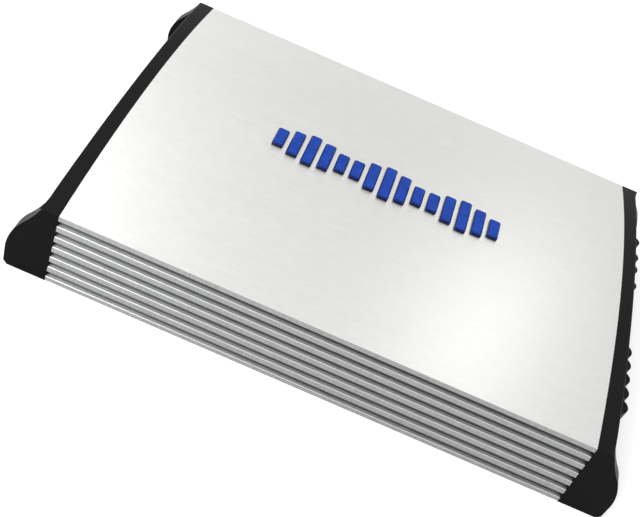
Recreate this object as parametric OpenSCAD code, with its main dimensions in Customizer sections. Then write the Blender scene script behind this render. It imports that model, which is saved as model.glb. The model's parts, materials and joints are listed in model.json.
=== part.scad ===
// Car amplifier: a finned aluminium heat sink with a curved top, black end caps
// that flare out into four feet, and the circuit inside. Millimetres, +Z up,
// origin on the resting plane under the middle. The wiring end is +X.

/* [Heat sink] */
// Length of the aluminium between the end caps
shell_l = 300; // [296:1:310]
// Depth across the two long edges of the curved top
top_w = 232; // [230:1:236]
// Height of the long edges above the resting plane
side_h = 44.4; // [44:0.1:46]
// Rise of the curved top above its long edges
crown = 11.7; // [11.5:0.1:13]
// How far each finned side leans out from top to bottom
side_lean = 5.4; // [5:0.1:6]
// Distance from one fin to the next
fin_pitch = 6.95; // [6.8:0.01:7.05]
// Height of a fin's outer face
fin_tip = 3.4; // [3:0.1:3.8]
// Depth of the grooves between fins
groove_depth = 2.6; // [2:0.1:3]

/* [End caps] */
// Width of the black band at the corners of the top
cap_d = 9.8; // [9.4:0.1:11]
// How much narrower the band is in its middle
band_bow = 1.2; // [0.6:0.1:1.8]
// How far a foot flares out past the band
foot_reach = 15.2; // [14.8:0.1:15.6]
// Thickness of a foot along the long side's normal
foot_t = 8.5; // [8:0.1:9]
// Radius of the mounting holes
mount_r = 2.5; // [2.1:0.1:2.6]

/* [Terminals] */
// Distance between the power ports
power_pitch = 11.1; // [11.1:0.1:11.3]
// Radius of a power wire port
power_port_r = 3.6; // [3.2:0.1:3.6]
// Radius of a speaker wire port
speaker_port_r = 2.6; // [2.2:0.1:2.6]

/* [Badge] */
// Length of the row of raised bars
badge_l = 145; // [120:1:150]
// Depth of the tallest bar
badge_h = 29; // [20:1:30]
// Number of bars
badge_bars_n = 15; // [9:2:17]
// Height of the bars above the top
badge_rise = 2.2; // [1.5:0.1:2.5]

/* [Hidden] */

// Fineness of the large arcs and of the small round parts
arc_fn = 720;
round_fn = 48;
eps = 0.01;

// Heat sink section
end_x = shell_l / 2;
arc_r = (top_w * top_w / 4 + crown * crown) / (2 * crown);
arc_z = side_h + crown - arc_r;
lean = side_lean / side_h;
skin_t = 4;
wall_y = 108;
shell_gap = 0.4;
ledge_z = 3.7;
ledge_y = 116.5;
fin_count = 7;
lip_short = 0.45;

// Badge
bar_fill = 0.72;
bar_low = 0.52;
bar_corner = 1.2;

// Screws
screw_r = 1.5;
screw_fit = 0.05;
head_r = 2.8;
head_h = 1.6;

// Base plate
plate_t = 1.5;
base_screw_xs = [-138, -46, 46, 138];
base_screw_y = 112.2;

// End caps and end panels
cap_x = end_x + cap_d;
foot_x = cap_x + foot_reach;
panel_t = 1.5;
lug_t = 3;
bar_h = 4;
bow_flats = 12;
bow_y = 103;
bulge_r = 30;
neck_r = 66;
foot_turn = 38.9;
bulge_z = 11.9;
foot_toe = 2.2;
boss_yz = [[-103.5, 38.5], [103.5, 38.5], [-40, 46.8], [40, 46.8]];
mount_x = cap_x + 6.4;
mount_y = 100;

// Circuit board
board_z = 9.7;
board_t = 1.6;
board_top = board_z + board_t;
board_y = 105.5;
board_x = 146;
standoff_xs = [-128, 0, 100];
standoff_y = 88;

// Control board, upright behind the input panel
control_x = -end_x + 8.4;
control_t = 1.6;
control_y = 98;
control_top = 42;

// Terminals
terminal_tip = 172.5;
block_back = 140;
block_top = 29.4;
port_z = 19.8;
clamp_x = 165.3;
power_y = -42.3;
power_ys = [for (i = [0:4]) power_y + (i - 2) * power_pitch];
power_lobe_r = 5.5;
power_front = 167;
power_pocket_w = 8;
power_screw_r = 2.4;
power_screw_hole_r = 2.9;
speaker_y = 62.1;
speaker_ys = [for (o = [-22, -6, 6, 22]) speaker_y + o];
speaker_lobe_r = 4.3;
speaker_front = 166;
speaker_w = 54;
speaker_pocket_w = 6.4;
speaker_screw_r = 1.95;
speaker_screw_hole_r = 2.4;
pocket_gap = 0.1;
pocket_floor = 2;
pocket_h = 14;
contact_front = 169;
wire_depth = 17;
tail_l = 3.5;

// Fuses
fuse_ys = [0, 10, 20];
fuse_z = 21;
fuse_w = 19;
fuse_t = 5;
fuse_base = 157;
fuse_top = 168.5;
fuse_cap_l = 4;
blade_l = 7;
blade_w = 5.2;
blade_t = 0.7;
blade_gap = 6.9;
holder_front = 156.5;
holder_edge = 5;
holder_top = 34;
fuse_colour = [0.25, 0.6, 0.25];

// Parts on the circuit board
transformer_xy = [58, 8];
core_or = 30;
core_ir = 17;
core_h = 20;
wind_t = 3;
choke_xys = [[-40, -52], [-40, 52]];
choke_or = 13;
choke_ir = 7;
choke_h = 9;
choke_wind_t = 1.8;
cap_r = 11;
cap_h = 30;
cap_xys = [for (y = [-60, -36, -12]) [112, y], for (y = [-24, 0, 24]) [-12, y]];
small_cap_r = 4;
small_cap_h = 12;
small_cap_xys = [for (x = [-120, -108, -96]) for (y = [-70, -56, 56, 70]) [x, y]];
device_xs = [for (i = [0:7]) -98 + 28 * i];
device_w = 15.8;
device_h = 20;
device_t = 5;
device_row_l = 216;
pad_t = 0.6;
clamp_t = 2.5;
clamp_screw_xs = [for (i = [0:3]) -84 + 56 * i];
clamp_screw_z = 27;

// Input end
knob_ys = [18, -6, -30, -54];
knob_z = 26;
shaft_r = 3;
shaft_fit = 0.06;
knob_r = 5;
knob_l = 8.5;
skirt_l = 2;
rca_ys = [77, 91];
rca_zs = [19.5, 33.5];
rca_r = 4.15;
rca_neck_r = 3.9;
rca_tip = -end_x - 12.5;
rca_ring_l = 10.5;
rca_block_w = 28;
switch_ys = [52, 38];
switch_z = 26;
lever_w = 4;
lever_h = 3.4;
switch_play = 2.2;
jack_y = -78;
jack_z = 25;
jack_w = 12;
led_y = -94;
led_zs = [31, 21];
led_r = 1.5;

// Extrudes a drawing in Y and Z along X, starting at x0
module along_x(x0, length) {
    translate([x0, 0, 0])
        rotate([90, 0, 90])
            linear_extrude(length) children();
}

// Extrudes a drawing in X and Z along Y, starting at y0
module along_y(y0, length) {
    translate([0, y0 + length, 0])
        rotate([90, 0, 0])
            linear_extrude(length) children();
}

// Cylinder along X from x0
module rod_x(x0, length, r, y, z, fn = round_fn) {
    translate([x0, y, z])
        rotate([0, 90, 0])
            cylinder(r = r, h = length, $fn = fn);
}

// Cylinder along Y from y0
module rod_y(y0, length, r, x, z, fn = round_fn) {
    translate([x, y0, z])
        rotate([-90, 0, 0])
            cylinder(r = r, h = length, $fn = fn);
}

// Cylinder along Z from z0
module rod_z(z0, length, r, x, y, fn = round_fn) {
    translate([x, y, z0])
        cylinder(r = r, h = length, $fn = fn);
}

// Box given by its middle in X and Y, its size and its lowest z
module block(x, y, z0, size) {
    translate([x - size[0] / 2, y - size[1] / 2, z0])
        cube(size);
}

// Rectangle with round corners, centred
module round_rect(w, h, r) {
    square([w - 2 * r, h], center = true);
    square([w, h - 2 * r], center = true);
    for (sx = [-1, 1])
        for (sy = [-1, 1])
            translate([sx * (w / 2 - r), sy * (h / 2 - r)])
                circle(r = r, $fn = round_fn);
}

// Half depth of the leaning side at height z
function side_y(z) = top_w / 2 + lean * (side_h - z);

// Everything under the curved top, lowered by inset
module under_arc(inset) {
    translate([0, arc_z])
        circle(r = arc_r - inset, $fn = arc_fn);
}

// Outer section of the amplifier from height z0 up
module outline(z0, inset = 0) {
    high = side_h + crown + 1;
    intersection() {
        polygon([
            [-side_y(z0) + inset, z0], [side_y(z0) - inset, z0],
            [side_y(high) - inset, high], [-side_y(high) + inset, high]
        ]);
        under_arc(inset);
    }
}

// Groove below fin i on the +Y side; fin 0 is the top's lip, shorter than the rest
module groove(i) {
    z1 = side_h + lip_short - i * fin_pitch - fin_tip;
    z2 = side_h + lip_short - (i + 1) * fin_pitch;
    polygon([
        [side_y(z1) + 1, z1], [side_y(z1) - groove_depth, z1],
        [side_y(z2) - groove_depth, z2], [side_y(z2) + 1, z2]
    ]);
}

// Hollow inside the heat sink, with the base plate's rebate below it
module cavity() {
    intersection() {
        translate([-wall_y, ledge_z - 1])
            square([2 * wall_y, side_h + crown]);
        under_arc(skin_t);
    }
    translate([-ledge_y, -1])
        square([2 * ledge_y, ledge_z + 1]);
}

// Blocks round the four panel screws, under the curved top lowered by inset
module screw_blocks(inset) {
    intersection() {
        under_arc(inset);
        for (s = [-1, 1]) {
            translate([s * (wall_y - 4), 39])
                square([9.5, 10], center = true);
            translate([s * 40, 48])
                square([9, 10], center = true);
        }
    }
}

module heatsink_shell() {
    color("silver")
    difference() {
        along_x(-end_x, shell_l) {
            difference() {
                outline(shell_gap);
                cavity();
                for (i = [0:fin_count - 2]) {
                    groove(i);
                    mirror([1, 0]) groove(i);
                }
            }
            screw_blocks(skin_t - 1);
        }
        for (p = boss_yz)
            for (x0 = [-end_x - 1, end_x - 13])
                rod_x(x0, 14, screw_r + screw_fit, p[0], p[1]);
        for (x = base_screw_xs)
            for (s = [-1, 1])
                rod_z(ledge_z - 1, 9, screw_r + screw_fit, x, s * base_screw_y);
        for (x = clamp_screw_xs)
            for (y0 = [-wall_y - 5, wall_y - 1])
                rod_y(y0, 6, screw_r + screw_fit, x, clamp_screw_z);
    }
}

module base_plate() {
    color("dimgray")
    difference() {
        block(0, 0, ledge_z - plate_t, [shell_l - 0.8, 2 * ledge_y - 0.6, plate_t]);
        for (x = base_screw_xs)
            for (s = [-1, 1])
                rod_z(ledge_z - plate_t - 1, plate_t + 2, screw_r + 0.2, x, s * base_screw_y);
        for (x = standoff_xs)
            for (s = [-1, 1])
                rod_z(ledge_z - plate_t - 1, plate_t + 2, screw_r + 0.2, x, s * standoff_y);
    }
}

module base_screws() {
    color("gray")
    for (x = base_screw_xs)
        for (s = [-1, 1])
            pan_screw_up(x, s * base_screw_y, ledge_z - plate_t, 8);
}

// Pan-head screw pointing up, its head just under height z
module pan_screw_up(x, y, z, shank) {
    difference() {
        union() {
            rod_z(z - head_h, head_h, head_r, x, y);
            rod_z(z - eps, shank, screw_r, x, y);
        }
        cross_recess(x, y, z - head_h);
    }
}

// Cross recess cut upwards into a head whose face is at z
module cross_recess(x, y, z) {
    for (a = [0, 90])
        translate([x, y, z])
            rotate([0, 0, a])
                cube([3, 0.6, 1.6], center = true);
}

// Foot drawn in X and Z, from the heat sink's end to its outer curve
module foot_profile() {
    bulge_x = foot_x - bulge_r;
    turn = [bulge_x + bulge_r * cos(foot_turn), bulge_z + bulge_r * sin(foot_turn)];
    neck = turn + neck_r * [cos(foot_turn), sin(foot_turn)];
    neck_end = asin((neck[1] - side_h) / neck_r);
    steps = 12;
    polygon(concat(
        [[end_x, 0], [foot_x - 0.6 - foot_toe, 0], [foot_x - 0.6, foot_toe]],
        [for (i = [0:steps]) let (a = foot_turn * i / steps)
            [bulge_x + bulge_r * cos(a), bulge_z + bulge_r * sin(a)]],
        [for (i = [1:steps]) let (a = foot_turn + (neck_end - foot_turn) * i / steps)
            [neck[0] - neck_r * cos(a), neck[1] - neck_r * sin(a)]],
        [[end_x, side_h]]
    ));
}

// Leaning slab that a foot is cut from, on side s
module foot_slab(s) {
    polygon([
        [s * side_y(0), 0], [s * side_y(side_h), side_h],
        [s * (side_y(side_h) - foot_t), side_h], [s * (side_y(0) - foot_t), 0]
    ]);
}

// What the flats that bow the band's outer face in towards its middle take away
module band_cut() {
    n = bow_flats / 2;
    translate([0, 0, bar_h + 2])
        linear_extrude(side_h + crown)
            polygon(concat(
                [for (i = [-n:n]) [cap_x - band_bow * (1 - i * i / (n * n)), i / n * bow_y]],
                [[cap_x + 5, bow_y], [cap_x + 5, -bow_y]]
            ));
}

// End cap on the +X end
module end_cap() {
    difference() {
        union() {
            difference() {
                along_x(end_x, cap_d)
                    difference() {
                        outline(0);
                        intersection() {
                            translate([-wall_y, bar_h])
                                square([2 * wall_y, side_h + crown]);
                            under_arc(skin_t + 0.5);
                        }
                    }
                band_cut();
            }
            for (s = [-1, 1]) {
                intersection() {
                    along_y(-top_w, 2 * top_w) foot_profile();
                    along_x(end_x, foot_x) foot_slab(s);
                }
                mounting_ear(s);
            }
            along_x(end_x + panel_t, lug_t) screw_blocks(skin_t);
        }
        along_x(end_x - 1, panel_t + 1.1) outline(ledge_z - plate_t, 2);
        for (p = boss_yz)
            rod_x(end_x, 8, screw_r + 0.2, p[0], p[1]);
        for (s = [-1, 1])
            rod_z(-1, bar_h + 2, mount_r, mount_x, s * mount_y);
    }
}

// Flat tab with a mounting hole, beside the foot on side s
module mounting_ear(s) {
    y1 = side_y(0) - foot_t + 1;
    y0 = mount_y - 7;
    translate([cap_x - 1, s > 0 ? y0 : -y1, 0])
        cube([mount_x + 5.8 - cap_x + 1, y1 - y0, bar_h]);
}

module end_cap_power() {
    color([0.09, 0.09, 0.1]) end_cap();
}

module end_cap_input() {
    color([0.09, 0.09, 0.1]) mirror([1, 0, 0]) end_cap();
}

// Blank end panel on the +X end, with its screw holes
module panel_blank() {
    difference() {
        along_x(end_x, panel_t) outline(ledge_z - plate_t + 0.2, 2.2);
        for (p = boss_yz)
            rod_x(end_x - 1, panel_t + 2, screw_r + 0.2, p[0], p[1]);
    }
}

// Rectangular window through the +X panel
module panel_window(y0, y1, z0, z1) {
    translate([end_x - 1, y0, z0])
        cube([panel_t + 2, y1 - y0, z1 - z0]);
}

module power_panel() {
    g = 0.3;
    color([0.13, 0.13, 0.14])
    difference() {
        panel_blank();
        panel_window(power_y - 2.5 * power_pitch - g, power_y + 2.5 * power_pitch + g,
            board_top - g, block_top + g);
        panel_window(speaker_y - speaker_w / 2 - g, speaker_y + speaker_w / 2 + g,
            board_top - g, block_top + g);
        panel_window(fuse_ys[0] - holder_edge - g, fuse_ys[2] + holder_edge + g,
            board_top - g, holder_top + g);
    }
}

module input_panel() {
    color([0.13, 0.13, 0.14])
    mirror([1, 0, 0])
    difference() {
        panel_blank();
        for (y = rca_ys)
            for (z = rca_zs)
                rod_x(end_x - 1, panel_t + 2, rca_r + 0.4, y, z);
        for (y = knob_ys)
            rod_x(end_x - 1, panel_t + 2, shaft_r + 0.5, y, knob_z);
        for (y = switch_ys)
            panel_window(y - lever_w / 2 - switch_play - 0.4, y + lever_w / 2 + switch_play + 0.4,
                switch_z - lever_h / 2 - 0.4, switch_z + lever_h / 2 + 0.4);
        panel_window(jack_y - jack_w / 2 - 0.3, jack_y + jack_w / 2 + 0.3,
            jack_z - jack_w / 2 - 0.3, jack_z + jack_w / 2 + 0.3);
        for (z = led_zs)
            rod_x(end_x - 1, panel_t + 2, led_r + 0.3, led_y, z);
    }
}

module panel_screws() {
    color([0.2, 0.2, 0.21])
    for (m = [0, 1])
        mirror([m, 0, 0])
            for (p = boss_yz)
                pan_screw_in(p[0], p[1]);
}

// Pan-head screw that runs in from the +X end through lug, panel and boss
module pan_screw_in(y, z) {
    face = end_x + panel_t + lug_t;
    difference() {
        union() {
            rod_x(face, head_h, head_r, y, z);
            rod_x(face - 12, 12 + eps, screw_r, y, z);
        }
        for (a = [0, 90])
            translate([face + head_h, y, z])
                rotate([a, 0, 0])
                    cube([1.6, 3, 0.6], center = true);
    }
}

// Row of raised bars whose lengths rise and fall like a level meter
module badge_bars() {
    pitch = badge_l / badge_bars_n;
    bar_w = bar_fill * pitch;
    color([0.1, 0.28, 0.75])
    for (i = [0:badge_bars_n - 1]) {
        u = (i + 0.5) / badge_bars_n * 2 - 1;
        wave = (0.5 + 0.5 * cos(3 * 180 * u)) * (1 - 0.3 * u * u);
        translate([u * badge_l / 2, 0, side_h + crown])
            linear_extrude(badge_rise)
                round_rect(bar_w, badge_h * (bar_low + (1 - bar_low) * wave), bar_corner);
    }
}

module circuit_board() {
    color("darkgreen")
    difference() {
        block(0, 0, board_z, [2 * board_x, 2 * board_y, board_t]);
        for (x = standoff_xs)
            for (s = [-1, 1])
                rod_z(board_z - 1, board_t + 2, screw_r + 0.2, x, s * standoff_y);
        rod_z(board_z - 1, board_t + 2, screw_r + 0.2, transformer_xy[0], transformer_xy[1]);
    }
}

module board_standoffs() {
    color("goldenrod")
    for (x = standoff_xs)
        for (s = [-1, 1])
            difference() {
                rod_z(ledge_z, board_z - ledge_z, 3.2, x, s * standoff_y, 6);
                rod_z(ledge_z - 1, board_z - ledge_z + 2, screw_r + screw_fit, x, s * standoff_y);
            }
}

// The same screw size holds the board down from above and the standoffs from below
module board_screws() {
    color("silver")
    for (x = standoff_xs)
        for (s = [-1, 1]) {
            pan_screw_up(x, s * standoff_y, ledge_z - plate_t, plate_t + 2.6);
            translate([x, s * standoff_y, board_top])
                mirror([0, 0, 1])
                    pan_screw_up(0, 0, 0, board_t + 2.6);
        }
}

module control_board() {
    color("darkgreen")
    block(control_x + control_t / 2, 0, board_top, [control_t, 2 * control_y, control_top - board_top]);
}

module board_header() {
    color([0.1, 0.1, 0.1])
    block(control_x + control_t + 1.25, 0, board_top, [2.5, 150, 5]);
}

// Terminal housing: a block with one round column per port
module terminal_block(ys, y_mid, width, front, lobe_r, port_r, pocket_w, screw_hole_r) {
    difference() {
        union() {
            translate([block_back, y_mid - width / 2, board_top])
                cube([front - block_back, width, block_top - board_top]);
            for (y = ys)
                rod_z(board_top, block_top - board_top, lobe_r, terminal_tip - lobe_r, y);
        }
        for (y = ys) {
            translate([block_back - 1, y - pocket_w / 2, board_top + pocket_floor])
                cube([contact_front + pocket_gap - block_back + 1, pocket_w, pocket_h]);
            rod_x(contact_front - 1, terminal_tip - contact_front + 2, port_r, y, port_z);
            rod_z(block_top - 6, 7, screw_hole_r, clamp_x, y);
        }
    }
}

// Metal contact: a block with the wire's hole, the clamp screw's hole and a tail to the board
module terminal_contact(y, width, port_r, hole_r) {
    z0 = board_top + pocket_floor + pocket_gap;
    difference() {
        union() {
            translate([block_back + 1, y - width / 2, z0])
                cube([contact_front - block_back - 1, width, pocket_h - 2 * pocket_gap]);
            translate([block_back - tail_l, y - width / 2, board_top])
                cube([tail_l - 0.5, width, 4]);
            translate([block_back - tail_l, y - width / 2, z0 + 0.4])
                cube([tail_l + 2.5, width, 2]);
        }
        rod_x(contact_front - wire_depth, wire_depth + 1, port_r, y, port_z);
        rod_z(port_z, 12, hole_r, clamp_x, y);
    }
}

// Clamp screw with a hexagonal socket, backed out clear of the wire's hole
module clamp_screw(y, r, port_r) {
    z0 = port_z + port_r + 0.1;
    top = block_top - 0.3;
    color([0.75, 0.72, 0.62])
    difference() {
        rod_z(z0, top - z0, r, clamp_x, y);
        rod_z(top - 2.5, 3, r * 0.55, clamp_x, y, 6);
    }
}

module power_screw(i) {
    clamp_screw(power_ys[i], power_screw_r, power_port_r);
}

module speaker_screw(i) {
    clamp_screw(speaker_ys[i], speaker_screw_r, speaker_port_r);
}

module power_terminal_block() {
    color([0.1, 0.1, 0.11])
    terminal_block(power_ys, power_y, 5 * power_pitch, power_front, power_lobe_r, power_port_r,
        power_pocket_w, power_screw_hole_r);
}

module power_terminal_contacts() {
    color([0.78, 0.75, 0.66])
    for (y = power_ys)
        terminal_contact(y, power_pocket_w - 2 * pocket_gap, power_port_r, power_screw_r + screw_fit);
}

module speaker_terminal_block() {
    color([0.1, 0.1, 0.11])
    terminal_block(speaker_ys, speaker_y, speaker_w, speaker_front, speaker_lobe_r, speaker_port_r,
        speaker_pocket_w, speaker_screw_hole_r);
}

module speaker_terminal_contacts() {
    color([0.78, 0.75, 0.66])
    for (y = speaker_ys)
        terminal_contact(y, speaker_pocket_w - 2 * pocket_gap, speaker_port_r,
            speaker_screw_r + screw_fit);
}

module fuse_holder() {
    slot_depth = blade_l + 1;
    color([0.1, 0.1, 0.11])
    difference() {
        translate([block_back, fuse_ys[0] - holder_edge, board_top])
            cube([holder_front - block_back, fuse_ys[2] - fuse_ys[0] + 2 * holder_edge,
                holder_top - board_top]);
        for (y = fuse_ys)
            for (s = [-1, 1])
                translate([holder_front - slot_depth, y - 1.2, fuse_z + s * blade_gap - 3.2])
                    cube([slot_depth + 1, 2.4, 6.4]);
    }
}

// Two spring leaves beside each blade
module fuse_contacts() {
    leaf = 0.5;
    color([0.8, 0.78, 0.7])
    for (y = fuse_ys)
        for (s = [-1, 1])
            for (side = [-1, 1])
                translate([holder_front - blade_l - 0.9, y + side * 0.8 - leaf / 2,
                    fuse_z + s * blade_gap - 2.8])
                    cube([blade_l - 0.6, leaf, 5.6]);
}

// Blade fuse: a moulded body with two blades
module blade_fuse(y, colour) {
    color(colour) {
        translate([fuse_base, y - fuse_t / 2, fuse_z - fuse_w / 2])
            cube([fuse_top - fuse_base - fuse_cap_l, fuse_t, fuse_w]);
        translate([fuse_top - fuse_cap_l - eps, y - fuse_t / 2 + 0.6, fuse_z - fuse_w / 2 + 1.4])
            cube([fuse_cap_l + eps, fuse_t - 1.2, fuse_w - 2.8]);
        for (s = [-1, 1])
            translate([fuse_base - blade_l, y - blade_t / 2, fuse_z + s * blade_gap - blade_w / 2])
                cube([blade_l + eps, blade_t, blade_w]);
    }
}

// Ring with a square section, standing on the board
module ring(x, y, z0, r_out, r_in, h) {
    translate([x, y, z0])
        difference() {
            cylinder(r = r_out, h = h, $fn = 96);
            translate([0, 0, -1])
                cylinder(r = r_in, h = h + 2, $fn = 96);
        }
}

// Wire wound round a ring, as the closed layer that it fills
module winding(x, y, z0, r_out, r_in, h, t) {
    difference() {
        ring(x, y, z0, r_out + t, r_in - t, h + 2 * t);
        ring(x, y, z0 + t, r_out, r_in, h);
    }
}

module transformer_core() {
    color([0.25, 0.25, 0.27])
    ring(transformer_xy[0], transformer_xy[1], board_top + wind_t, core_or, core_ir, core_h);
}

module transformer_winding() {
    color([0.72, 0.38, 0.16])
    winding(transformer_xy[0], transformer_xy[1], board_top, core_or, core_ir, core_h, wind_t);
}

// Dished washer and bolt that hold the transformer down
module transformer_clamp() {
    x = transformer_xy[0];
    y = transformer_xy[1];
    top = board_top + core_h + 2 * wind_t;
    color([0.15, 0.15, 0.16]) {
        rod_z(top, 1.5, core_ir + 3, x, y);
        rod_z(top + 1.5 - eps, 2.5, 4, x, y, 6);
        rod_z(board_z - 1.5, top - board_z + 1.5 + eps, screw_r, x, y);
    }
}

module choke_cores() {
    color([0.75, 0.68, 0.2])
    for (p = choke_xys)
        ring(p[0], p[1], board_top + choke_wind_t, choke_or, choke_ir, choke_h);
}

module choke_windings() {
    color([0.72, 0.38, 0.16])
    for (p = choke_xys)
        winding(p[0], p[1], board_top, choke_or, choke_ir, choke_h, choke_wind_t);
}

// Upright capacitor with a crimped neck
module capacitor(x, y, r, h) {
    rod_z(board_top, 2, r, x, y);
    rod_z(board_top + 2 - eps, 1 + 2 * eps, r - 0.6, x, y);
    rod_z(board_top + 3, h - 3, r, x, y);
}

module main_capacitors() {
    color([0.12, 0.14, 0.2])
    for (p = cap_xys)
        capacitor(p[0], p[1], cap_r, cap_h);
}

module small_capacitors() {
    color([0.12, 0.14, 0.2])
    for (p = small_cap_xys)
        capacitor(p[0], p[1], small_cap_r, small_cap_h);
}

// Runs its children for both rows of power devices; the +Y row is drawn
module both_rows() {
    children();
    mirror([0, 1, 0]) children();
}

module power_transistors() {
    y1 = wall_y - pad_t;
    z0 = board_top + 2;
    color([0.12, 0.12, 0.13])
    both_rows()
        for (x = device_xs) {
            block(x, y1 - device_t / 2, z0, [device_w, device_t, device_h]);
            for (o = [-5, 0, 5])
                block(x + o, y1 - device_t / 2 - 1, board_top, [1.2, 0.6, 2 + eps]);
        }
}

module transistor_pads() {
    color([0.75, 0.75, 0.72])
    both_rows()
        difference() {
            block(0, wall_y - pad_t / 2, board_top + 1.5, [device_row_l, pad_t, device_h + 1]);
            for (x = clamp_screw_xs)
                rod_y(wall_y - 1, 2, screw_r + 0.2, x, clamp_screw_z);
        }
}

module transistor_clamps() {
    y = wall_y - pad_t - device_t - clamp_t / 2;
    color([0.6, 0.6, 0.62])
    both_rows()
        difference() {
            block(0, y, clamp_screw_z - 4, [device_row_l, clamp_t, 8]);
            for (x = clamp_screw_xs)
                rod_y(y - clamp_t, 2 * clamp_t, screw_r + 0.2, x, clamp_screw_z);
        }
}

module transistor_clamp_screws() {
    y = wall_y - pad_t - device_t - clamp_t;
    color("silver")
    both_rows()
        for (x = clamp_screw_xs) {
            rod_y(y - 2, 2, head_r, x, clamp_screw_z);
            rod_y(y - eps, wall_y - y + 4, screw_r, x, clamp_screw_z);
        }
}

module driver_chips() {
    color([0.1, 0.1, 0.1])
    for (x = [-116, -88])
        for (y = [-36, 36])
            block(x, y, board_top, [19, 6.4, 3.4]);
}

module rca_block() {
    y_mid = (rca_ys[0] + rca_ys[1]) / 2;
    z_mid = (rca_zs[0] + rca_zs[1]) / 2;
    color([0.1, 0.1, 0.11])
    difference() {
        translate([-end_x + 0.4, y_mid - rca_block_w / 2, z_mid - rca_block_w / 2])
            cube([control_x + end_x - 0.4, rca_block_w, rca_block_w]);
        for (y = rca_ys)
            for (z = rca_zs)
                rod_x(-end_x - 1, 4, rca_neck_r + pocket_gap, y, z);
    }
}

// Ring that the plug slides over, on a slimmer neck through the panel
module rca_shells() {
    x1 = -end_x + 3;
    color([0.85, 0.7, 0.3])
    for (y = rca_ys)
        for (z = rca_zs)
            difference() {
                union() {
                    rod_x(rca_tip, rca_ring_l, rca_r, y, z);
                    rod_x(rca_tip + rca_ring_l - eps, x1 - rca_tip - rca_ring_l + eps, rca_neck_r, y, z);
                }
                rod_x(rca_tip - 1, x1 - rca_tip + 0.2, rca_r - 0.6, y, z);
            }
}

// Insulated centre contact of each socket, with the pin's hole
module rca_contacts() {
    x1 = -end_x + 2.2;
    color([0.85, 0.7, 0.3])
    for (y = rca_ys)
        for (z = rca_zs)
            difference() {
                rod_x(rca_tip + 0.5, x1 - rca_tip - 0.5, 2.4, y, z);
                rod_x(rca_tip - 1, x1 - rca_tip - 1, 1.65, y, z);
            }
}

module potentiometer_bodies() {
    color([0.45, 0.45, 0.48])
    for (y = knob_ys)
        difference() {
            translate([-end_x + 0.4, y - 5, knob_z - 6])
                cube([control_x + end_x - 0.4, 10, 12]);
            rod_x(-end_x - 1, 6.5, shaft_r + shaft_fit, y, knob_z);
        }
}

// Knob with its shaft, a skirt and a pointer slot
module knob(y) {
    base = -end_x - panel_t - 0.8;
    color([0.08, 0.08, 0.09])
    difference() {
        union() {
            rod_x(-end_x - 2.5, 7.5, shaft_r, y, knob_z);
            rod_x(base - skirt_l, skirt_l, knob_r, y, knob_z);
            rod_x(base - knob_l, knob_l - skirt_l + eps, knob_r - 0.8, y, knob_z);
        }
        translate([base - knob_l - 0.5, y - 0.5, knob_z + 0.5])
            cube([1.3, 1, knob_r]);
    }
}

module switch_bodies() {
    color([0.65, 0.65, 0.68])
    for (y = switch_ys)
        difference() {
            translate([-end_x + 0.4, y - 6.5, switch_z - 4])
                cube([control_x + end_x - 0.4, 13, 8]);
            translate([-end_x, y - lever_w / 2 - switch_play - 0.3, switch_z - lever_h / 2 - 0.1])
                cube([5, lever_w + 2 * switch_play + 0.6, lever_h + 0.2]);
        }
}

module switch_lever(y) {
    color([0.85, 0.85, 0.83]) {
        translate([-end_x - 5, y - lever_w / 2, switch_z - lever_h / 2])
            cube([9, lever_w, lever_h]);
    }
}

module remote_jack() {
    color([0.1, 0.1, 0.11])
    difference() {
        translate([-end_x - panel_t, jack_y - jack_w / 2, jack_z - jack_w / 2])
            cube([control_x + end_x + panel_t, jack_w, jack_w]);
        translate([-end_x - panel_t - 1, jack_y - 4.8, jack_z - 3.5])
            cube([9, 9.6, 7]);
    }
}

// Round lamp lens with a domed tip
module led(z, colour) {
    tip = -end_x - panel_t - 1;
    color(colour) {
        rod_x(tip, control_x - tip, led_r, led_y, z);
        translate([tip, led_y, z])
            sphere(r = led_r, $fn = 32);
    }
}

heatsink_shell();
base_plate();
base_screws();
end_cap_power();
end_cap_input();
power_panel();
input_panel();
panel_screws();
badge_bars();
circuit_board();
board_standoffs();
board_screws();
control_board();
board_header();
power_terminal_block();
power_terminal_contacts();
power_screw(0);  // power_clamp_screw_1
power_screw(1);  // power_clamp_screw_2
power_screw(2);  // power_clamp_screw_3
power_screw(3);  // power_clamp_screw_4
power_screw(4);  // power_clamp_screw_5
speaker_terminal_block();
speaker_terminal_contacts();
speaker_screw(0);  // speaker_clamp_screw_1
speaker_screw(1);  // speaker_clamp_screw_2
speaker_screw(2);  // speaker_clamp_screw_3
speaker_screw(3);  // speaker_clamp_screw_4
fuse_holder();
fuse_contacts();
blade_fuse(fuse_ys[0], fuse_colour);  // fuse_1
blade_fuse(fuse_ys[1], fuse_colour);  // fuse_2
blade_fuse(fuse_ys[2], fuse_colour);  // fuse_3
transformer_core();
transformer_winding();
transformer_clamp();
choke_cores();
choke_windings();
main_capacitors();
small_capacitors();
power_transistors();
transistor_pads();
transistor_clamps();
transistor_clamp_screws();
driver_chips();
rca_block();
rca_shells();
rca_contacts();
potentiometer_bodies();
knob(knob_ys[0]);  // level_knob
knob(knob_ys[1]);  // low_pass_knob
knob(knob_ys[2]);  // high_pass_knob
knob(knob_ys[3]);  // bass_boost_knob
switch_bodies();
switch_lever(switch_ys[0]);  // crossover_switch
switch_lever(switch_ys[1]);  // input_switch
remote_jack();
led(led_zs[0], [0.2, 0.45, 1]);  // power_led
led(led_zs[1], [0.9, 0.1, 0.1]);  // protect_led
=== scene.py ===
"""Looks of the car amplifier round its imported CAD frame.

Holds the finishes, rounded edges, small detail, light and camera. Metres, +Z up, the wiring
end towards +X. Lengths written in millimetres carry MM.
"""

import json
import math
import random

import bmesh
import bpy
from mathutils import Matrix, Vector


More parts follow.
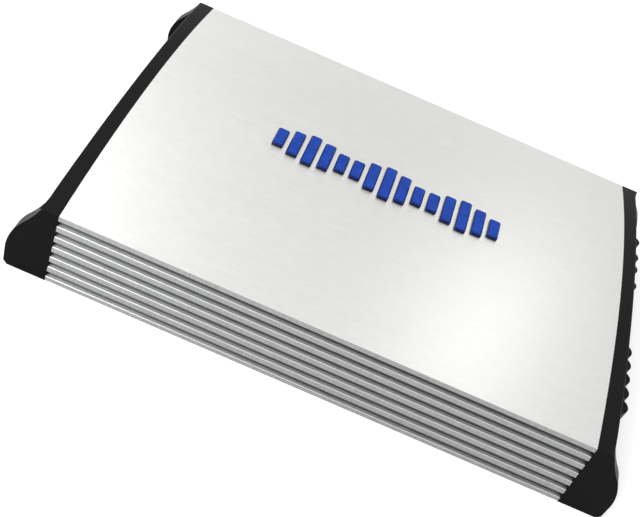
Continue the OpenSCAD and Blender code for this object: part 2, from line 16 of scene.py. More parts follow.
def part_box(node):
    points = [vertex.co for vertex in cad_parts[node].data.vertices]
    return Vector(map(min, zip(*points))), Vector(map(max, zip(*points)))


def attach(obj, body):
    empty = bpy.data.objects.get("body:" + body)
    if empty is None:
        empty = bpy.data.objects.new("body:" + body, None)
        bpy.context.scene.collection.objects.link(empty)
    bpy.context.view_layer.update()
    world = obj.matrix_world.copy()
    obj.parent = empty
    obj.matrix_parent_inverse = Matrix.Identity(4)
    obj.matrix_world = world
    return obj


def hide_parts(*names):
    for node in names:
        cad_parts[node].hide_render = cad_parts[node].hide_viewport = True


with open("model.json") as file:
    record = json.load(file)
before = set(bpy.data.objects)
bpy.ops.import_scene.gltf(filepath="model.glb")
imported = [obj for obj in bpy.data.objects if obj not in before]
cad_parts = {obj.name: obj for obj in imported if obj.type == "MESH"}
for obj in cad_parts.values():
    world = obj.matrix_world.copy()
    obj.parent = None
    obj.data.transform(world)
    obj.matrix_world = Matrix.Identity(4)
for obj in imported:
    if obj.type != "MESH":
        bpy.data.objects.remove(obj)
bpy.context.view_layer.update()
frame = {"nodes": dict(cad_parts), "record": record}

MM = 0.001
CHASSIS = "chassis"
# The heat sink's long sides: height of the lip's upper edge, distance from one fin to the next,
# and how far a side leans out per metre of fall
LIP_TOP = 44.4 * MM
FIN_PITCH = 6.95 * MM
FIN_LEAN = 5.4 * MM / LIP_TOP
END_CAPS = ("end_cap_power", "end_cap_input")
KNOBS = ("level_knob", "low_pass_knob", "high_pass_knob", "bass_boost_knob")
FUSES = ("fuse_1", "fuse_2", "fuse_3")
LAMPS = ("power_led", "protect_led")
nodes = frame["nodes"]
bodies_in_record = frame["record"]["behaviour"]["bodies"]
body_of = {n: body for body, members in bodies_in_record.items() for n in members}


# ---------------------------------------------------------------- materials

class Look:
    """A Principled material with the few node chains that the finishes share."""

    def __init__(self, name, colour, roughness, **sockets):
        self.material = bpy.data.materials.new(name)
        self.material.use_nodes = True
        self.tree = self.material.node_tree
        self.shader = self.tree.nodes["Principled BSDF"]
        self.set(Base_Color=(*colour, 1.0), Roughness=roughness, **sockets)
        self.place = self.node("ShaderNodeTexCoord").outputs["Object"]

    def set(self, **sockets):
        """Sets the shader's own sockets; an underscore stands for a space in a socket's name."""
        for name, value in sockets.items():
            socket = self.shader.inputs[name.replace("_", " ")]
            if isinstance(value, bpy.types.NodeSocket):
                self.tree.links.new(value, socket)
            else:
                socket.default_value = value

    def node(self, kind, inputs=(), **settings):
        """A new node with its settings, and its inputs given by name or number."""
        made = self.tree.nodes.new(kind)
        for name, value in settings.items():
            setattr(made, name, value)
        for name, value in dict(inputs).items():
            if isinstance(value, bpy.types.NodeSocket):
                self.tree.links.new(value, made.inputs[name])
            else:
                made.inputs[name].default_value = value
        return made

    def stretched(self, per_metre):
        """Object coordinates times so many noise cells per metre along X, Y and Z."""
        return self.node("ShaderNodeMapping", {"Vector": self.place, "Scale": per_metre}).outputs[0]

    def noise(self, per_metre, detail=2.0, roughness=0.5):
        """Noise from 0 to 1 whose cells are 1 / per_metre long on each axis."""
        cells = per_metre if isinstance(per_metre, tuple) else (per_metre,) * 3
        inputs = {"Vector": self.stretched(cells), "Scale": 1.0, "Detail": detail,
                  "Roughness": roughness}
        return self.node("ShaderNodeTexNoise", inputs).outputs[0]

    def spread(self, value, low, high, start=0.3, stop=0.7):
        """value from start to stop, spread over low to high."""
        inputs = {"Value": value, "From Min": start, "From Max": stop, "To Min": low,
                  "To Max": high}
        return self.node("ShaderNodeMapRange", inputs).outputs[0]

    def blend(self, amount, first, second):
        """first where amount is 0, second where it is 1."""
        mix = self.node("ShaderNodeMix", data_type="RGBA")
        colours = ((mix.inputs[0], amount), (mix.inputs[6], first), (mix.inputs[7], second))
        for socket, value in colours:
            if isinstance(value, bpy.types.NodeSocket):
                self.tree.links.new(value, socket)
            else:
                socket.default_value = (*value, 1.0) if isinstance(value, tuple) else value
        return mix.outputs[2]

    def bump(self, height, depth, strength=1.0):
        """Raises the surface by height times depth."""
        inputs = {"Height": height, "Distance": depth, "Strength": strength}
        self.set(Normal=self.node("ShaderNodeBump", inputs).outputs[0])

    def facing(self, output="Normal"):
        """The X, Y and Z parts of the surface's Normal, or of its unsmoothed True Normal."""
        direction = self.node("ShaderNodeNewGeometry").outputs[output]
        return self.node("ShaderNodeSeparateXYZ", {0: direction}).outputs

    def math(self, operation, first, second=0.0):
        """The result of one math node; some operations use only the first value."""
        return self.node("ShaderNodeMath", {0: first, 1: second}, operation=operation).outputs[0]


def black_painted_lit_top(name, colour, lit_top_colour, roughness, cell, depth, **sockets):
    """Black moulding or paint whose upward faces are painted a little paler than its upright ones,
    as painted light from above.
    """
    look = Look(name, colour, roughness, **sockets)
    grain = look.noise(1 / cell, detail=3.0)
    upward = look.spread(look.facing()[2], 0, 1, 0.88, 0.97)
    # Painted light: faces that look up are painted paler, as if lit from above, broken a little by
    # the grain
    painted_top_light = look.math("MULTIPLY", upward, look.spread(grain, 0.8, 1.0))
    look.set(Base_Color=look.blend(painted_top_light, colour, lit_top_colour))
    look.set(Roughness=look.spread(grain, roughness - 0.05, roughness + 0.05))
    look.bump(grain, depth)
    return look.material


def grainy(name, colour, roughness, cell, depth, shade=0.15, **sockets):
    """A moulded or coated surface: fine grain of one cell size, and a slow change of tone."""
    look = Look(name, colour, roughness, **sockets)
    grain = look.noise(1 / cell, detail=3.0)
    slow = look.noise(1 / (40 * MM), detail=2.0)
    darker = tuple(c * (1 - shade) for c in colour)
    lighter = tuple(min(1.0, c * (1 + shade)) for c in colour)
    look.set(Base_Color=look.blend(look.spread(slow, 0, 1), darker, lighter))
    look.set(Roughness=look.spread(grain, roughness - 0.05, roughness + 0.05))
    look.bump(grain, depth)
    return look.material


def metal(name, colour, roughness, per_metre, shade=0.12, depth=0.01 * MM):
    """Bare or plated metal with fine marks that run the long way of its noise cells."""
    look = Look(name, colour, roughness, Metallic=1.0)
    marks = look.noise(per_metre, detail=3.0)
    darker = tuple(c * (1 - shade) for c in colour)
    look.set(Base_Color=look.blend(look.spread(marks, 0, 1), darker, colour))
    look.set(Roughness=look.spread(marks, roughness - 0.06, roughness + 0.06))
    look.bump(marks, depth)
    return look.material


def brushed_aluminium():
    """Clear-anodised aluminium, brushed along its length on top and milled on the fins, whose faces
    also carry painted shade.

    A painted highlight makes the fins' upper corners paler, the grooves' walls are painted pale
    as painted light, and painted shade darkens the backs of the grooves, most of all under the fin
    above.
    """
    look = Look("brushed_aluminium", (0.86, 0.86, 0.85), 0.4, Metallic=1.0, Anisotropic=0.8)
    look.set(Tangent=look.node("ShaderNodeTangent", direction_type="RADIAL", axis="X").outputs[0])
    low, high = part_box("heatsink_shell")
    fine = look.noise((130.0, 2400.0, 2400.0), detail=3.0, roughness=0.6)
    coarse = look.noise((9.0, 320.0, 320.0), detail=2.0)
    across = look.noise((1600.0, 110.0, 110.0), detail=2.0)
    place = look.node("ShaderNodeSeparateXYZ", {0: look.place}).outputs
    upward = look.facing("True Normal")[2]
    side = look.spread(upward, 1.0, 0.0, 0.85, 0.92)
    # Painted highlight: the fins' rounded upper corners, between upward and outward, are painted
    # pale
    painted_corner_highlight = look.math("MULTIPLY", side, look.spread(upward, 0, 1, 0.25, 0.35))
    grain = look.math("ADD", look.math("MULTIPLY", fine, 0.85), look.math("MULTIPLY", coarse, 0.15))
    streaks, cuts = look.spread(grain, 0, 1, 0.35, 0.65), look.spread(across, 0, 1, 0.35, 0.65)
    top = look.blend(streaks, (0.82, 0.82, 0.80), (0.89, 0.89, 0.87))
    # The fins' faces are far darker than the top: partly their milled finish, partly painted shade
    fin = look.blend(cuts, (0.30, 0.31, 0.305), (0.37, 0.38, 0.375))
    skin = look.blend(painted_corner_highlight, look.blend(side, top, fin), (0.82, 0.82, 0.82))

    # How deep a point lies behind the plane of the fins' faces, the top of the lip left out
    lean = look.math("MULTIPLY", place[2], FIN_LEAN)
    out = look.math("ADD", look.math("ABSOLUTE", place[1]), lean)
    depth = look.math("SUBTRACT", high[1] + low[2] * FIN_LEAN, out)
    under_lip = look.spread(place[2], 1, 0, LIP_TOP - 1.4 * MM, LIP_TOP - 0.5 * MM)
    # Painted light: the grooves' walls, just behind the faces and below the lip, are painted pale
    painted_pale_groove_wall = look.spread(depth, 0, 1, 0.45 * MM, 0.6 * MM)
    # Painted shade: the backs of the grooves, 2 mm behind the faces and below the lip
    painted_groove_shade = look.spread(depth, 0, 1, 2.0 * MM, 2.1 * MM)
    skin = look.blend(look.math("MULTIPLY", painted_pale_groove_wall, under_lip), skin, (0.9, 0.91, 0.905))

    # Painted shade: each groove's back is painted dark, and paler just above the next fin down
    drop = look.math("MODULO", look.math("SUBTRACT", LIP_TOP, place[2]), FIN_PITCH)
    low_down = look.spread(drop, 0, 1, 6.0 * MM, 6.5 * MM)
    shade = look.blend(low_down, (0.04, 0.042, 0.042), (0.3, 0.305, 0.305))
    look.set(Base_Color=look.blend(look.math("MULTIPLY", painted_groove_shade, under_lip), skin, shade))
    look.set(Roughness=look.spread(grain, 0.36, 0.46))
    relief = look.node("ShaderNodeMix", {0: side, 2: grain, 3: across}, data_type="FLOAT")
    look.bump(relief.outputs[0], 0.01 * MM)
    return look.material


def badge_blue():
    """Blue gloss paint on the bars, with painted shade that makes them darker on their bevels and
    nearly black down their walls.
    """
    look = Look("badge_blue", (0.01, 0.07, 0.5), 0.22, Specular_IOR_Level=0.2)
    upward = look.facing("True Normal")[2]
    cloud = look.noise(1 / (6 * MM), detail=2.0)
    face = look.blend(look.spread(cloud, 0, 1), (0.001, 0.035, 0.28), (0.002, 0.05, 0.38))
    # Painted shade: bevels darker and walls nearly black, the less they face up
    wall_to_bevel = look.spread(upward, 0, 1, 0.05, 0.3)
    bevel = look.blend(wall_to_bevel, (0.001, 0.003, 0.02), (0.001, 0.012, 0.12))
    look.set(Base_Color=look.blend(look.spread(upward, 0, 1, 0.9, 0.99), bevel, face))
    look.set(Roughness=look.spread(cloud, 0.18, 0.26))
    return look.material


# ---------------------------------------------------------------- pieces

def piece(name, bm, material, smooth_angle=35, body=CHASSIS, slot=None, replaces=()):
    """A finished piece from a bmesh: smooth between shallow edges, riding on its body."""
    limit = math.radians(smooth_angle)
    bmesh.ops.recalc_face_normals(bm, faces=bm.faces)
    for edge in bm.edges:
        edge.smooth = edge.is_manifold and edge.calc_face_angle(math.pi) < limit
    for face in bm.faces:
        face.smooth = True
    mesh = bpy.data.meshes.new(name)
    bm.to_mesh(mesh)
    bm.free()
    for m in material if isinstance(material, (list, tuple)) else [material]:
        mesh.materials.append(m)
    made = bpy.data.objects.new(name, mesh)
    bpy.context.scene.collection.objects.link(made)
    weighted = made.modifiers.new("normals", "WEIGHTED_NORMAL")
    weighted.keep_sharp = True
    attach(made, body)
    if replaces:
        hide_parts(*replaces)
    return made


def cad_copy(node):
    """The CAD node's own shape as a bmesh, with its corners joined and its flat faces whole."""
    bm = bmesh.new()
    bm.from_mesh(nodes[node].data)
    bmesh.ops.remove_doubles(bm, verts=bm.verts, dist=0.002 * MM)
    bmesh.ops.dissolve_limit(bm, angle_limit=math.radians(0.3), verts=bm.verts, edges=bm.edges,
                             use_dissolve_boundaries=False)
    return bm


def round_edges(bm, width, segments=3, angle=30, keep=lambda edge: True, clamp=True):
    """Rounds the edges that turn by more than angle and that keep() accepts.

    With clamp on, the tightest spot holds back the whole call: one very short edge leaves every
    edge of the piece almost sharp, and its new faces almost without width. report.md lists the
    pieces where that happens.
    """
    limit = math.radians(angle)
    sharp = [e for e in bm.edges if e.is_manifold and e.calc_face_angle(0) > limit and keep(e)]
    bmesh.ops.bevel(bm, geom=sharp, offset=width, offset_type="OFFSET", segments=segments,
                    profile=0.5, affect="EDGES", clamp_overlap=clamp)


def in_place_of(node, bm, **options):
    """The bmesh as the piece shown instead of the CAD node, in its finish and on its body."""
    slot = nodes[node].data.materials[0].name
    return piece(f"{node}_finished", bm, slots[slot], body=body_of[node], slot=slot,
                 replaces=[node], **options)


def finished(node, width, segments=3):
    """The CAD node's shape, its edges rounded by up to width, in place of the node."""
    bm = cad_copy(node)
    round_edges(bm, width, segments)
    return in_place_of(node, bm)


def middle(node):
    """The middle of the CAD node's box."""
    low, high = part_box(node)
    return (low + high) / 2


def solids(node):
    """The box of each separate solid of a CAD node, as (low, high) pairs."""
    bm = cad_copy(node)
    found = []
    left = set(bm.verts)
    while left:
        group = {left.pop()}
        frontier = list(group)
        while frontier:
            vert = frontier.pop()
            for near in (e.other_vert(vert) for e in vert.link_edges):
                if near in left:
                    left.discard(near)
                    group.add(near)
                    frontier.append(near)
        spans = [[f(v.co[i] for v in group) for i in range(3)] for f in (min, max)]
        found.append((Vector(spans[0]), Vector(spans[1])))
    bm.free()
    return sorted(found, key=lambda pair: tuple(round(c, 5) for c in pair[0]))


def bar(bm, low, high):
    """A box between two corners."""
    size = Vector(high) - Vector(low)
    place = Matrix.Translation((Vector(high) + Vector(low)) / 2) @ Matrix.Diagonal((*size, 1.0))
    return bmesh.ops.create_cube(bm, size=1.0, matrix=place)["verts"]


def lathe(bm, profile, place, axis, segments=48, ring=False, ridges=0):
    """Turns (along, radius) or (along, radius, ridge depth) rows about an axis through place."""
    turn = Vector(axis).to_track_quat("Z", "Y").to_matrix()
    rows = []
    for along, radius, *ridge in profile:
        row = []
        for i in range(segments if radius > 0 else 1):
            a = i * math.tau / segments
            reach = radius - (ridge[0] * (0.5 + 0.5 * math.cos(ridges * a)) if ridge else 0.0)
            point = Vector((reach * math.cos(a), reach * math.sin(a), along))
            row.append(bm.verts.new(Vector(place) + turn @ point))
        rows.append(row)
    for first, second in zip(rows, rows[1:] + rows[:1] if ring else rows[1:]):
        for i in range(segments):
            j = i + 1
            corners = [first[i % len(first)], first[j % len(first)],
                       second[j % len(second)], second[i % len(second)]]
            corners = list(dict.fromkeys(corners))
            if len(corners) > 2:
                bm.faces.new(corners)


def wire_loops(bm, centre, low_z, high_z, inner, outer, wire, turns, corner, lean, sides=8):
    """Closed turns of wire round a ring's section, inner to outer and low_z to high_z."""
    path = []
    section = ((outer, high_z, 0), (inner, high_z, 90), (inner, low_z, 180), (outer, low_z, 270))
    for x, z, start in section:
        cx = x - corner if x == outer else x + corner
        cz = z - corner if z == high_z else z + corner
        for step in range(4):
            a = math.radians(start + 30 * step)
            cos, sin = math.cos(a), math.sin(a)
            path.append((cx + corner * cos, cz + corner * sin, cos, sin))
    for t in range(turns):
        rows = []
        for along, height, out_x, out_z in path:
            a = (t + lean * (along - inner) / (outer - inner)) * math.tau / turns
            radial = Vector((math.cos(a), math.sin(a), 0))
            side = Vector((-math.sin(a), math.cos(a), 0))
            point = Vector((centre[0], centre[1], height)) + radial * along
            out = radial * out_x + Vector((0, 0, out_z))
            angles = [k * math.tau / sides for k in range(sides)]
            rim = [point + wire * (out * math.cos(b) + side * math.sin(b)) for b in angles]
            rows.append([bm.verts.new(co) for co in rim])
        for first, second in zip(rows, rows[1:] + rows[:1]):
            for k in range(sides):
                after = (k + 1) % sides
                bm.faces.new([first[k], first[after], second[after], second[k]])


# ---------------------------------------------------------------- the object

slots = {
    "brushed_aluminium": brushed_aluminium(),
    "black_plastic": black_painted_lit_top("black_plastic", (0.0015, 0.0015, 0.0022), (0.009, 0.009, 0.009),
                                 0.42, 0.5 * MM, 0.015 * MM, Specular_IOR_Level=0.07),
    "black_steel": grainy("black_steel", (0.012, 0.012, 0.013), 0.5, 0.4 * MM, 0.02 * MM),
    "base_steel": grainy("base_steel", (0.02, 0.02, 0.021), 0.5, 0.4 * MM, 0.02 * MM),
    "black_screw": metal("black_screw", (0.05, 0.05, 0.052), 0.35, 900.0),
    "zinc_screw": metal("zinc_screw", (0.62, 0.62, 0.6), 0.3, 900.0),
    "badge_blue": badge_blue(),
    "board_green": grainy("board_green", (0.01, 0.12, 0.04), 0.35, 0.8 * MM, 0.02 * MM),
    "brass": metal("brass", (0.75, 0.58, 0.28), 0.25, 900.0),
    "terminal_plastic": black_painted_lit_top("terminal_plastic", (0.002, 0.002, 0.0025),
                                    (0.005, 0.005, 0.005), 0.4, 0.5 * MM, 0.01 * MM,
                                    Specular_IOR_Level=0.1),
    "nickel_contact": metal("nickel_contact", (0.72, 0.70, 0.64), 0.25, 900.0),
    "nickel_screw": metal("nickel_screw", (0.70, 0.69, 0.65), 0.22, 900.0),
    "fuse_green": grainy("fuse_green", (0.03, 0.4, 0.09), 0.2, 2 * MM, 0.0, Coat_Weight=0.4),
    "ferrite": grainy("ferrite", (0.05, 0.05, 0.055), 0.6, 0.4 * MM, 0.03 * MM),
    "copper_wire": metal("copper_wire", (0.62, 0.24, 0.09), 0.28, 700.0),
    "powder_core": grainy("powder_core", (0.62, 0.52, 0.08), 0.5, 0.5 * MM, 0.02 * MM),
    "capacitor_sleeve": grainy("capacitor_sleeve", (0.012, 0.016, 0.05), 0.25, 3 * MM, 0.01 * MM),
    "chip_black": grainy("chip_black", (0.02, 0.02, 0.021), 0.55, 0.3 * MM, 0.01 * MM),
    "thermal_pad": grainy("thermal_pad", (0.6, 0.6, 0.56), 0.8, 0.5 * MM, 0.02 * MM),
    "clamp_steel": metal("clamp_steel", (0.55, 0.55, 0.56), 0.35, 500.0),
    "gold_plate": metal("gold_plate", (0.86, 0.62, 0.24), 0.2, 900.0),
    "knob_black": grainy("knob_black", (0.012, 0.012, 0.013), 0.4, 0.5 * MM, 0.01 * MM),
    "lever_white": grainy("lever_white", (0.75, 0.75, 0.72), 0.4, 0.5 * MM, 0.01 * MM),
    "lamp_blue": grainy("lamp_blue", (0.1, 0.3, 0.95), 0.15, 2 * MM, 0.0, Transmission_Weight=0.5),
    "lamp_red": grainy("lamp_red", (0.85, 0.05, 0.04), 0.15, 2 * MM, 0.0, Transmission_Weight=0.5),
}

# Nodes whose CAD shape is only a stand-in for the piece made further down
made_below = {"heatsink_shell", "badge_bars", "rca_shells", "transformer_winding", "choke_windings",
              "main_capacitors", "small_capacitors", *END_CAPS, *KNOBS, *FUSES, *LAMPS}
# Rounding asked for, where it isn't 0.15 mm
widths = {"power_terminal_block": 0.4 * MM, "speaker_terminal_block": 0.4 * MM,
          "panel_screws": 0.3 * MM, "base_screws": 0.3 * MM, "board_screws": 0.3 * MM,
          "transistor_clamps": 0.3 * MM}
for name in sorted(set(nodes) - made_below):
    finished(name, widths.get(name, 0.15 * MM))


def heat_sink():
    """The extrusion, its fins' upper corners rounder than the rest to carry a bright line, helped
    by a painted highlight.
    """
    bm = cad_copy("heatsink_shell")
    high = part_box("heatsink_shell")[1]

    def upper_corner(edge):
        """Between a fin's upper side and its outer face."""
        normals = sorted((f.normal for f in edge.link_faces), key=lambda n: n.z)
        along = (edge.verts[0].co - edge.verts[1].co).normalized()
        convex = edge.calc_face_angle_signed(0) > 0
        of_fin = edge.verts[0].co.z < high.z - 16 * MM
        lengthwise = abs(along.x) > 0.99
        return (of_fin and convex and lengthwise and abs(normals[0].y) > 0.9
                and normals[1].z > 0.9)

    round_edges(bm, 0.3 * MM, 3, keep=upper_corner, clamp=False)
    round_edges(bm, 0.15 * MM, 2, angle=50)
    in_place_of("heatsink_shell", bm)


def badge():
    """The raised bars with a crisp chamfer round each face."""
    bm = cad_copy("badge_bars")
    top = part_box("badge_bars")[1].z

    def face_edge(edge):
        """Round the bars' top faces."""
        return all(v.co.z > top - 0.01 * MM for v in edge.verts)

    round_edges(bm, 0.75 * MM, 1, keep=face_edge, clamp=False)
    in_place_of("badge_bars", bm, smooth_angle=30)


def end_cap(node):
    """An end cap with its band's outer top edge rolled over."""
    bm = cad_copy(node)
    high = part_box("heatsink_shell")[1]

    def band_edge(edge):
        """On the curved outer top edge of the band."""
        ends = [v.co for v in edge.verts]
        outer = all(abs(v.x) > high.x + 7 * MM and v.z > high.z - 12 * MM for v in ends)
        up, out = (any(abs(f.normal[i]) > 0.9 for f in edge.link_faces) for i in (2, 0))
        return outer and up and out

    round_edges(bm, 1.2 * MM, 5, keep=band_edge, clamp=False)
    round_edges(bm, 0.3 * MM, 3)
    in_place_of(node, bm)


def knob(node):
    """A ridged control knob with a skirt, and the white pointer on its face."""
    low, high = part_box(node)
    place = Vector((low.x, (low.y + high.y) / 2, (low.z + high.z) / 2))
    skirt = (high.z - low.z) / 2
    body, shaft, ridge = skirt - 0.8 * MM, 3 * MM, 0.45 * MM
    front, waist, back, end = 0.1 * MM, 6.5 * MM, 8.5 * MM, high.x - low.x
    profile = [(front, 0), (front, body - 1.3 * MM), (front + 0.25 * MM, body - 0.9 * MM),
               (1.1 * MM, body - 0.35 * MM, ridge / 2), (1.6 * MM, body, ridge),
               (waist - 0.5 * MM, body, ridge), (waist, body), (waist + 0.2 * MM, skirt - 0.2 * MM),
               (waist + 0.5 * MM, skirt), (back - 0.3 * MM, skirt), (back, skirt - 0.3 * MM),
               (back, shaft), (end, shaft), (end, 0)]
    bm = bmesh.new()
    lathe(bm, profile, place, (1, 0, 0), segments=144, ridges=24)
    in_place_of(node, bm, smooth_angle=50)
    bm = bmesh.new()
    bar(bm, place + Vector((0.03 * MM, -0.35 * MM, 0.5 * MM)),
        place + Vector((0.3 * MM, 0.35 * MM, body - 1.2 * MM)))
    round_edges(bm, 0.05 * MM, 1)
    piece(f"{node}_pointer", bm, slots["lever_white"], body=body_of[node], slot="lever_white")


def dial_marks():
    """Printed ticks round each knob, longer at both ends and the middle of its turn."""
    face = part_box("input_panel")[0].x
    bm = bmesh.new()
    for node in KNOBS:
        centre = middle(node)
        for step in range(11):
            a = math.radians(-140 + 28 * step)
            end = 8.3 * MM if step in (0, 5, 10) else 7.6 * MM
            made = bar(bm, (-0.03 * MM, -0.2 * MM, 6.3 * MM), (0.05 * MM, 0.2 * MM, end))
            bmesh.ops.rotate(bm, verts=made, cent=(0, 0, 0), matrix=Matrix.Rotation(a, 3, "X"))
            bmesh.ops.translate(bm, verts=made, vec=(face, centre.y, centre.z))
    piece("dial_marks", bm, slots["lever_white"], slot="lever_white")


def rca_sockets():
    """Gold rings with a rolled mouth, thinner from the panel back, round coloured insulators."""
    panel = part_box("input_panel")[0].x
    rings = bmesh.new()
    insulators = {"white": bmesh.new(), "red": bmesh.new()}
    sleeves = solids("rca_shells")
    row_y = min(low.y for low, high in sleeves)
    for low, high in sleeves:
        place = Vector((low.x, (low.y + high.y) / 2, (low.z + high.z) / 2))
        outer, length = (high.z - low.z) / 2, high.x - low.x
        inner = outer - 0.6 * MM
        ring_l = panel - 0.5 * MM - low.x
        neck = outer - 0.25 * MM
        profile = [(0.35 * MM, inner), (0, inner + 0.2 * MM), (0, neck), (0.25 * MM, outer),
                   (ring_l, outer), (ring_l + 0.05 * MM, neck), (length, neck), (length, inner)]
        lathe(rings, profile, place, (1, 0, 0), ring=True)
        colour = "white" if low.y - row_y < 1 * MM else "red"
        face, back = 2.2 * MM, length - 0.5 * MM
        bore, rim = 2.45 * MM, inner - 0.05 * MM
        lathe(insulators[colour], [(face, bore), (face, rim), (back, rim), (back, bore)], place,
              (1, 0, 0), ring=True)
    in_place_of("rca_shells", rings)
    for colour, bm in insulators.items():
        piece(f"rca_insulators_{colour}", bm, insulator_looks[colour])


def fuse(node):
    """A blade fuse: a stepped, waisted body with two test points, and its bright blades."""
    low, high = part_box(node)
    y, z = (low.y + high.y) / 2, (low.z + high.z) / 2
    blade_l, head_l, overlap = 7 * MM, 4 * MM, 0.2 * MM
    inset_y, inset_z = 0.6 * MM, 1.4 * MM
    base = low.x + blade_l
    body = bmesh.new()
    bar(body, (base, low.y, low.z), (high.x - head_l, high.y, high.z))
    bar(body, (high.x - head_l - overlap, low.y + inset_y, low.z + inset_z),
        (high.x, high.y - inset_y, high.z - inset_z))
    round_edges(body, 0.4 * MM, 3)
    in_place_of(node, body)
    metal_parts = bmesh.new()
    blade_z, blade_half_w, blade_half_t = 6.9 * MM, 2.6 * MM, 0.35 * MM
    point_z, point_half_w, point_half_t = 5.2 * MM, 1.1 * MM, 0.5 * MM
    for side in (-1, 1):
        blade = z + side * blade_z
        bar(metal_parts, (low.x, y - blade_half_t, blade - blade_half_w),
            (base + 0.5 * MM, y + blade_half_t, blade + blade_half_w))
        point = z + side * point_z
        bar(metal_parts, (high.x - 1 * MM, y - point_half_t, point - point_half_w),
            (high.x - 0.01 * MM, y + point_half_t, point + point_half_w))
    round_edges(metal_parts, 0.1 * MM, 1)
    piece(f"{node}_metal", metal_parts, slots["nickel_contact"], body=body_of[node],
          slot="nickel_contact")


def toroid_wire(node, core_bore, wire, turns):
    """Real turns of wire round each ring of the given bore, in place of the CAD's closed layer."""
    bm = bmesh.new()
    for low, high in solids(node):
        centre = (low + high) / 2
        outer = (high.x - low.x) / 2 - wire
        wire_loops(bm, centre, low.z + wire, high.z - wire, core_bore - wire, outer, wire, turns,
                   corner=1.4 * wire, lean=0.35)
    in_place_of(node, bm, smooth_angle=80)


def capacitors(node, rim):
    """Sleeved capacitors with a crimped neck, and their bare tops; vent_cuts() adds the cross on
    the large ones.
    """
    sleeves, tops = bmesh.new(), bmesh.new()
    for low, high in solids(node):
        place = Vector(((low.x + high.x) / 2, (low.y + high.y) / 2, low.z))
        r, h = (high.x - low.x) / 2, high.z - low.z
        fold = min(0.8 * MM, r / 5)
        sunk = h - 0.25 * MM
        profile = [(0, 0), (0, r - fold), (fold, r), (1.9 * MM, r), (2.5 * MM, r - 0.6 * MM),
                   (3.1 * MM, r), (h - fold, r), (h - fold / 3, r - fold / 3), (h, r - fold),
                   (h, r - rim), (sunk, r - rim), (sunk, 0)]
        lathe(sleeves, profile, place, (0, 0, 1))
        top = place + Vector((0, 0, h - 0.2 * MM))
        disc = r - rim
        profile = [(-0.04 * MM, disc - 0.05 * MM), (0.05 * MM, disc - 0.25 * MM), (0.05 * MM, 0)]
        lathe(tops, profile, top, (0, 0, 1))
    in_place_of(node, sleeves)
    piece(f"{node}_tops", tops, slots["clamp_steel"], slot="clamp_steel")


def vent_cuts():
    """The cross pressed into each large capacitor's top."""
    bm = bmesh.new()
    for low, high in solids("main_capacitors"):
        centre = (low + high) / 2
        reach, z = 0.55 * (high.x - low.x) / 2, high.z - 0.14 * MM
        for a in (45, 135):
            made = bar(bm, (-reach, -0.25 * MM, 0), (reach, 0.25 * MM, 0.03 * MM))
            turn = Matrix.Rotation(math.radians(a), 3, "Z")
            bmesh.ops.rotate(bm, verts=made, cent=(0, 0, 0), matrix=turn)
            bmesh.ops.translate(bm, verts=made, vec=(centre.x, centre.y, z))
    piece("capacitor_vents", bm, slots["chip_black"], slot="chip_black")


def lamp(node):
    """A round lamp with a domed lens."""
    low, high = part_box(node)
    r = (high.z - low.z) / 2
    place = Vector((low.x, (low.y + high.y) / 2, (low.z + high.z) / 2))
    angles = [math.radians(a) for a in range(0, 91, 10)]
    dome = [(r * (1 - math.cos(a)), r * math.sin(a)) for a in angles]
    bm = bmesh.new()
    lathe(bm, dome + [(high.x - low.x, r), (high.x - low.x, 0)], place, (1, 0, 0), segments=32)
    in_place_of(node, bm)


def board_parts():
    """Chip resistors and solder lines on the free parts of the main board."""
    rng = random.Random(7)
    low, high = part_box("circuit_board")
    around = {"circuit_board", "heatsink_shell", "base_plate", "badge_bars", "input_panel",
              "power_panel", *END_CAPS}
    standing = [pair for n in nodes if n not in around for pair in solids(n)
                if pair[0].z < high.z + 6 * MM]
    bodies, ends, lines = bmesh.new(), bmesh.new(), bmesh.new()

    def within(x, y, a, b, gap):
        """Whether x, y is inside the rectangle a to b, grown by gap."""
        return a.x - gap < x < b.x + gap and a.y - gap < y < b.y + gap

    def turned(long, short, along_x):
        """A flat offset with its long part along X or along Y."""
        return Vector((long, short, 0)) if along_x else Vector((short, long, 0))

    chips, gap, room = 150, 4 * MM, Vector((2 * MM, 2 * MM, 0))
    placed = 0
    while placed < chips:
        x, y = rng.uniform(low.x, high.x), rng.uniform(low.y, high.y)
        if not within(x, y, low, high, -gap) or any(within(x, y, a, b, gap) for a, b in standing):
            continue
        placed += 1
        spot = Vector((x, y, high.z))
        standing.append((spot - room, spot + room))
        along_x = rng.random() < 0.5
        half = turned(1.2 * MM, 0.7 * MM, along_x)
        bar(bodies, spot - half, spot + half + Vector((0, 0, 0.55 * MM)))
        for side in (-1, 1):
            cap = turned(0.3 * MM, 0.72 * MM, along_x)
            centre = spot + turned(side * 1.4 * MM, 0, along_x)
            bar(ends, centre - cap, centre + cap + Vector((0, 0, 0.5 * MM)))
    piece("chip_resistors", bodies, slots["chip_black"], slot="chip_black")
    piece("chip_resistor_ends", ends, slots["nickel_contact"], slot="nickel_contact")
    # In millimetres: x, and y from and to
    solder_lines = [(x, -8, 8) for x in (94, 132, 138)]
    solder_lines += [(x, y, y + 34) for x in (-70, -62) for y in (-92, 58)]
    for x, y0, y1 in solder_lines:
        bar(lines, ((x - 1.2) * MM, y0 * MM, high.z - 0.1 * MM),
            ((x + 1.2) * MM, y1 * MM, high.z + 0.25 * MM))
    round_edges(lines, 0.2 * MM, 2)
    piece("solder_lines", lines, slots["nickel_contact"], slot="nickel_contact")


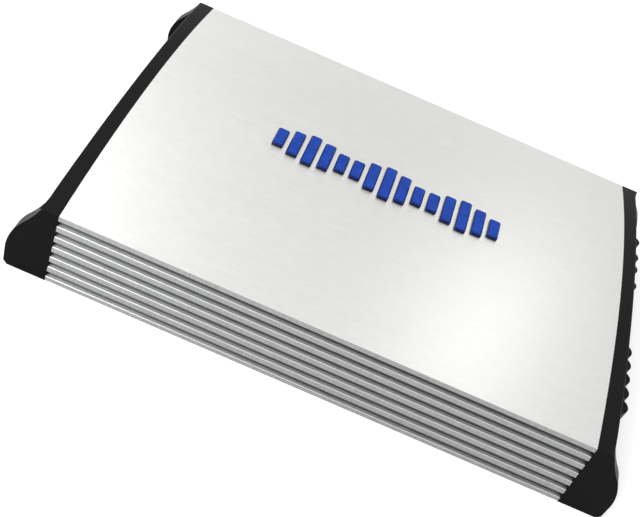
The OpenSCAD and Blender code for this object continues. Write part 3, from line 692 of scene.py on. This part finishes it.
insulator_looks = {"white": grainy("insulator_white", (0.8, 0.8, 0.78), 0.35, 0.5 * MM, 0.0),
                   "red": grainy("insulator_red", (0.5, 0.02, 0.02), 0.35, 0.5 * MM, 0.0)}
heat_sink()
badge()
for name in END_CAPS:
    end_cap(name)
for name in KNOBS:
    knob(name)
dial_marks()
rca_sockets()
for name in FUSES:
    fuse(name)
for name in LAMPS:
    lamp(name)
toroid_wire("transformer_winding", 17 * MM, 1.45 * MM, 30)
toroid_wire("choke_windings", 7 * MM, 0.85 * MM, 20)
capacitors("main_capacitors", 1.2 * MM)
capacitors("small_capacitors", 0.6 * MM)
vent_cuts()
board_parts()


# ---------------------------------------------------------------- room, light and camera

def floor():
    """A plain pale floor under the object."""
    bm = bmesh.new()
    bmesh.ops.create_circle(bm, cap_ends=True, radius=6.0, segments=96)
    mesh = bpy.data.meshes.new("floor")
    bm.to_mesh(mesh)
    bm.free()
    look = Look("floor_white", (0.9, 0.9, 0.9), 0.9, Specular_IOR_Level=0.0,
                Emission_Strength=0.3, Emission_Color=(1.0, 1.0, 1.0, 1.0))
    mesh.materials.append(look.material)
    made = bpy.data.objects.new("floor", mesh)
    bpy.context.scene.collection.objects.link(made)


def sky(low, high):
    """Plain white surroundings, a little brighter overhead than at the horizon."""
    world = bpy.data.worlds.new("studio")
    bpy.context.scene.world = world
    world.use_nodes = True
    tree = world.node_tree
    background = tree.nodes["Background"]
    background.inputs["Color"].default_value = (1.0, 1.0, 1.0, 1.0)
    place = tree.nodes.new("ShaderNodeTexCoord")
    split = tree.nodes.new("ShaderNodeSeparateXYZ")
    grade = tree.nodes.new("ShaderNodeMapRange")
    for socket, value in (("From Min", 0.0), ("From Max", 1.0), ("To Min", low), ("To Max", high)):
        grade.inputs[socket].default_value = value
    tree.links.new(place.outputs["Generated"], split.inputs[0])
    tree.links.new(split.outputs[2], grade.inputs["Value"])
    tree.links.new(grade.outputs[0], background.inputs["Strength"])


def softbox(name, place, target, size, watts):
    """A rectangular area light at place that points at target, its width level."""
    data = bpy.data.lights.new(name, "AREA")
    data.shape = "RECTANGLE"
    data.size, data.size_y = size
    data.energy = watts
    made = bpy.data.objects.new(name, data)
    made.location = place
    made.rotation_euler = (Vector(target) - Vector(place)).to_track_quat("-Z", "Y").to_euler()
    bpy.context.scene.collection.objects.link(made)


def camera(place, azimuth, elevation, roll, lens):
    """A camera that looks along azimuth, where 0 is +Y, and down by elevation, all in degrees."""
    a, e = math.radians(azimuth), math.radians(elevation)
    forward = Vector((-math.sin(a) * math.cos(e), math.cos(a) * math.cos(e), -math.sin(e)))
    level = forward.to_track_quat("-Z", "Y").to_matrix().to_4x4()
    data = bpy.data.cameras.new("camera")
    data.lens = lens
    made = bpy.data.objects.new("camera", data)
    tilt = Matrix.Rotation(math.radians(roll), 4, "Z")
    made.matrix_world = Matrix.Translation(place) @ level @ tilt
    bpy.context.scene.collection.objects.link(made)
    bpy.context.scene.camera = made


floor()
sky(0.68, 0.87)
softbox("band", (0.28, 0.452, 1.11), (0.087, -0.077, 0.051), (0.08, 0.4), 0.5)
softbox("left", (-0.75, 0.45, 1.1), (-0.14, -0.10, 0.05), (0.6, 0.8), 1.9)
softbox("front", (-0.9, -1.3, 1.2), (0, 0, 0), (1.2, 0.8), 24.0)
camera((-0.0250, -0.4788, 0.4336), -0.82, 43.42, 23.96, 58.44)
bpy.context.scene.view_settings.view_transform = "Standard"
